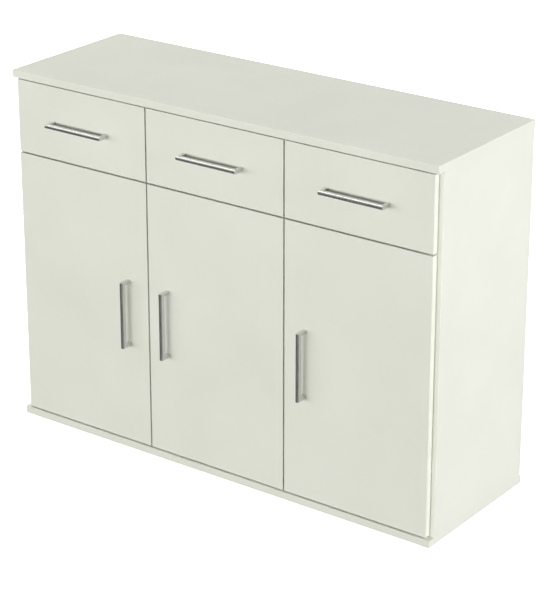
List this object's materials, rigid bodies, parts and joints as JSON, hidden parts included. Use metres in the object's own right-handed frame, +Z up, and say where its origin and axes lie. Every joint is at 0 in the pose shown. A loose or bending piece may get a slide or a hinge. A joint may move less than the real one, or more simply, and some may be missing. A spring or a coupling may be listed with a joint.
{
  "type": "sideboard buffet",
  "caption": "Low sideboard with a row of drawers over a row of hinged doors between a flat top and base that stand just proud, with slim metal bow handles.",
  "frame": {"origin": "on the floor at the middle of the carcass, which is the underside of the middle glide", "axes": "+X to the right as seen from the front, +Z up, drawers and doors on the -Y side, the back to +Y"},
  "size_m": [1.2, 0.428, 0.9],
  "materials": {
    "front_white": "satin off-white melamine",
    "board_white": "satin off-white melamine",
    "hardboard_white": "painted hardboard",
    "hardboard_bare": "bare hardboard, painted on its inner face",
    "brushed_handle": "brushed nickel",
    "hinge_nickel": "nickel plated, satin",
    "zinc_screws": "bright zinc",
    "cam_zinc": "die-cast zinc",
    "nail_steel": "bright steel",
    "pin_nickel": "nickel plated",
    "bracket_zinc": "bright zinc",
    "runner_plastic": "moulded",
    "glide_plastic": "moulded",
    "dowel_beech": "fluted beech"
  },
  "bodies": {
    "carcass": {"back_panel_nails": "nail_steel", "base_glides": "glide_plastic", "base_panel": "board_white", "cam_bolts": "cam_zinc", "cam_locks": "cam_zinc", "drawer_runners": "runner_plastic", "hinge_arms": "hinge_nickel", "hinge_plates": "hinge_nickel", "left_back_panel": "hardboard_bare", "left_cross_rail": "board_white", "left_divider": "board_white", "left_shelf": "board_white", "left_side_panel": "board_white", "middle_back_panel": "hardboard_bare", "middle_cross_rail": "board_white", "middle_shelf": "board_white", "right_back_panel": "hardboard_bare", "right_cross_rail": "board_white", "right_divider": "board_white", "right_shelf": "board_white", "right_side_panel": "board_white", "shelf_pins": "pin_nickel", "top_panel": "board_white", "wall_brackets": "bracket_zinc"},
    "left_drawer": {"left_drawer_back": "board_white", "left_drawer_bottom": "hardboard_white", "left_drawer_dowels": "dowel_beech", "left_drawer_front": "front_white", "left_drawer_handle": "brushed_handle", "left_drawer_handle_screws": "zinc_screws", "left_drawer_left_side": "board_white", "left_drawer_right_side": "board_white"},
    "left_door": {"left_door_handle": "brushed_handle", "left_door_handle_screws": "zinc_screws", "left_door_hinge_cups": "hinge_nickel", "left_door_panel": "front_white"},
    "middle_drawer": {"middle_drawer_back": "board_white", "middle_drawer_bottom": "hardboard_white", "middle_drawer_dowels": "dowel_beech", "middle_drawer_front": "front_white", "middle_drawer_handle": "brushed_handle", "middle_drawer_handle_screws": "zinc_screws", "middle_drawer_left_side": "board_white", "middle_drawer_right_side": "board_white"},
    "middle_door": {"middle_door_handle": "brushed_handle", "middle_door_handle_screws": "zinc_screws", "middle_door_hinge_cups": "hinge_nickel", "middle_door_panel": "front_white"},
    "right_drawer": {"right_drawer_back": "board_white", "right_drawer_bottom": "hardboard_white", "right_drawer_dowels": "dowel_beech", "right_drawer_front": "front_white", "right_drawer_handle": "brushed_handle", "right_drawer_handle_screws": "zinc_screws", "right_drawer_left_side": "board_white", "right_drawer_right_side": "board_white"},
    "right_door": {"right_door_handle": "brushed_handle", "right_door_handle_screws": "zinc_screws", "right_door_hinge_cups": "hinge_nickel", "right_door_panel": "front_white"}
  },
  "joints": [
    {"name": "left_drawer_slide", "type": "slide", "parent": "carcass", "child": "left_drawer", "axis": [0, -1, 0], "range_m": [0, 0.26]},
    {"name": "middle_drawer_slide", "type": "slide", "parent": "carcass", "child": "middle_drawer", "axis": [0, -1, 0], "range_m": [0, 0.26]},
    {"name": "right_drawer_slide", "type": "slide", "parent": "carcass", "child": "right_drawer", "axis": [0, -1, 0], "range_m": [0, 0.26]},
    {"name": "left_door_hinge", "type": "hinge", "parent": "carcass", "child": "left_door", "pos_m": [-0.588, -0.196, 0.35825], "axis": [0, 0, -1], "range_deg": [0, 95]},
    {"name": "middle_door_hinge", "type": "hinge", "parent": "carcass", "child": "middle_door", "pos_m": [0.19467, -0.196, 0.35825], "axis": [0, 0, 1], "range_deg": [0, 95]},
    {"name": "right_door_hinge", "type": "hinge", "parent": "carcass", "child": "right_door", "pos_m": [0.588, -0.196, 0.35825], "axis": [0, 0, 1], "range_deg": [0, 95]}
  ]
}
